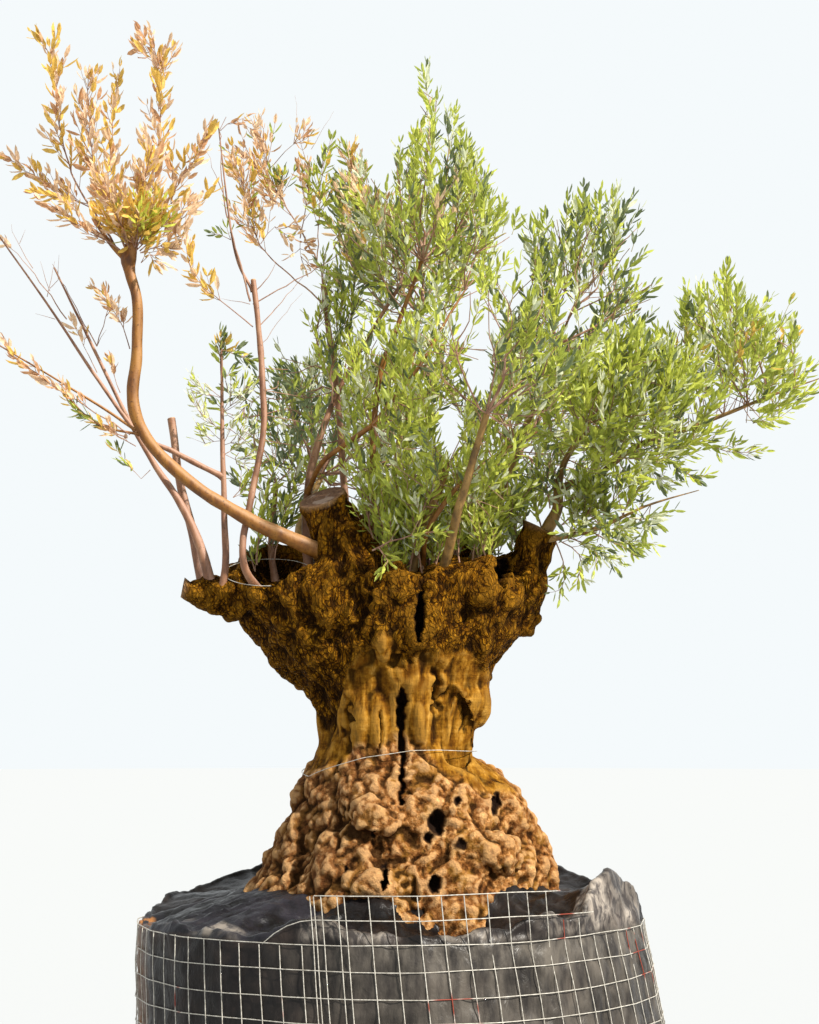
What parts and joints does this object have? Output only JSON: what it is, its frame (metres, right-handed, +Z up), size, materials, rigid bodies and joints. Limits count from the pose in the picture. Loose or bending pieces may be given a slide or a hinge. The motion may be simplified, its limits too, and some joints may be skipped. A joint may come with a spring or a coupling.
{
  "type": "olive tree",
  "caption": "Old pollarded olive tree with a burred trunk, regrown crown and a root ball wrapped in black film and wire mesh",
  "frame": {"origin": "middle of the flat underside of the root ball, on the floor", "axes": "+Z up; +X to the right and +Y to the back, with the side of the long dry arm on the left seen from the front"},
  "size_m": [2.9069, 1.9769, 4.0609],
  "materials": {
    "root_ball": "black polyethylene film over packed soil, with soil on top",
    "wire": "galvanised welded wire mesh with a little rust",
    "old_wood": "old olive wood, burred at the foot, smooth at the waist, plated bark at the head",
    "young_bark": "smooth pinkish-brown bark",
    "green_foliage": "grey-green and yellow-green leaves",
    "sparse_foliage": "dark grey-green leaves on thin twigs",
    "turning_foliage": "mixed tan and green leaves",
    "dry_foliage": "dry tan leaves"
  },
  "bodies": {
    "root": {"root_ball": "root_ball", "wire_cage": "wire", "loose_mesh": "wire", "trunk": "old_wood", "left_stub": "old_wood", "centre_stump": "old_wood", "small_stump": "old_wood", "right_limb": "old_wood", "rear_left_stump": "old_wood", "rear_right_stump": "old_wood", "arm_high": "young_bark", "arm_low": "young_bark", "bare_bough": "young_bark", "centre_bough": "young_bark", "crossing_bough": "young_bark", "crossing_twig": "young_bark", "foliage_centre": "green_foliage", "foliage_far_right": "green_foliage", "foliage_front": "green_foliage", "foliage_inner_left": "sparse_foliage", "foliage_left_crown": "turning_foliage", "foliage_peak": "green_foliage", "foliage_rear_left": "green_foliage", "foliage_rear_right": "green_foliage", "foliage_rear_top": "green_foliage", "foliage_right_low": "green_foliage", "foliage_right_middle": "green_foliage", "foliage_right_top": "green_foliage", "foliage_top_crown": "green_foliage", "foliage_tuft_core": "dry_foliage", "foliage_tuft_left": "dry_foliage", "foliage_tuft_right": "dry_foliage", "foliage_tuft_spray": "dry_foliage", "front_bough": "young_bark", "hooked_bough": "young_bark", "inner_left_bough": "young_bark", "leader_twig": "young_bark", "limb_leader": "young_bark", "long_right_bough": "young_bark", "low_right_bough": "young_bark", "low_shoot": "young_bark", "low_side_shoot": "young_bark", "pink_bough": "young_bark", "rear_bough": "young_bark", "rear_left_bough": "young_bark", "rear_right_bough": "young_bark", "rear_top_bough": "young_bark", "red_bough": "young_bark", "right_bough": "young_bark", "stub_bough": "young_bark", "upper_right_bough": "young_bark", "upright_bough": "young_bark"}
  },
  "joints": []
}
